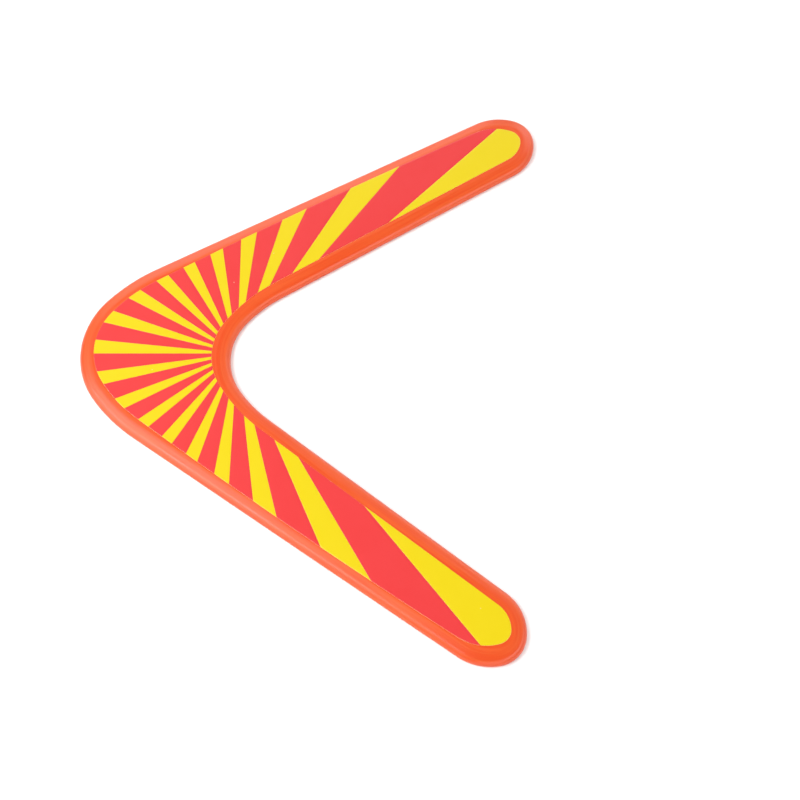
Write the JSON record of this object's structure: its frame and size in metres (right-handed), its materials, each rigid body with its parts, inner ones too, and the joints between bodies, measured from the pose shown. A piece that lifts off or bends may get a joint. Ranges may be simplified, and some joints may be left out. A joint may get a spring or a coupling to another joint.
{
  "type": "throwing boomerang",
  "caption": "Wide V-shaped throwing boomerang of laminated plywood with rounded-over edges, orange lacquer and a printed sunburst of red and yellow rays on its upper face.",
  "frame": {"origin": "middle of the bounding box in X and Y, on the flat underside that the board rests on", "axes": "+X across the two arm tips, +Y from the outer elbow towards the open side of the V, +Z out of the printed upper face"},
  "size_m": [0.2996, 0.2184, 0.0053],
  "materials": {
    "orange_lacquer": "satin-gloss sprayed lacquer",
    "birch_long_grain": "rotary-cut birch veneer, grain along Y",
    "birch_cross_grain": "rotary-cut birch veneer, grain along X",
    "glue": "cured wood glue",
    "underbase_ink": "pale screen-print underbase",
    "yellow_ink": "satin screen-print ink",
    "red_ink": "satin screen-print ink"
  },
  "bodies": {
    "root": {"back_lacquer": "orange_lacquer", "back_veneer": "birch_long_grain", "back_glue_line": "glue", "lower_crossband": "birch_cross_grain", "lower_glue_line": "glue", "core_veneer": "birch_long_grain", "upper_glue_line": "glue", "upper_crossband": "birch_cross_grain", "face_glue_line": "glue", "face_veneer": "birch_long_grain", "face_lacquer": "orange_lacquer", "print_underbase": "underbase_ink", "yellow_rays": "yellow_ink", "red_rays": "red_ink"}
  },
  "joints": []
}
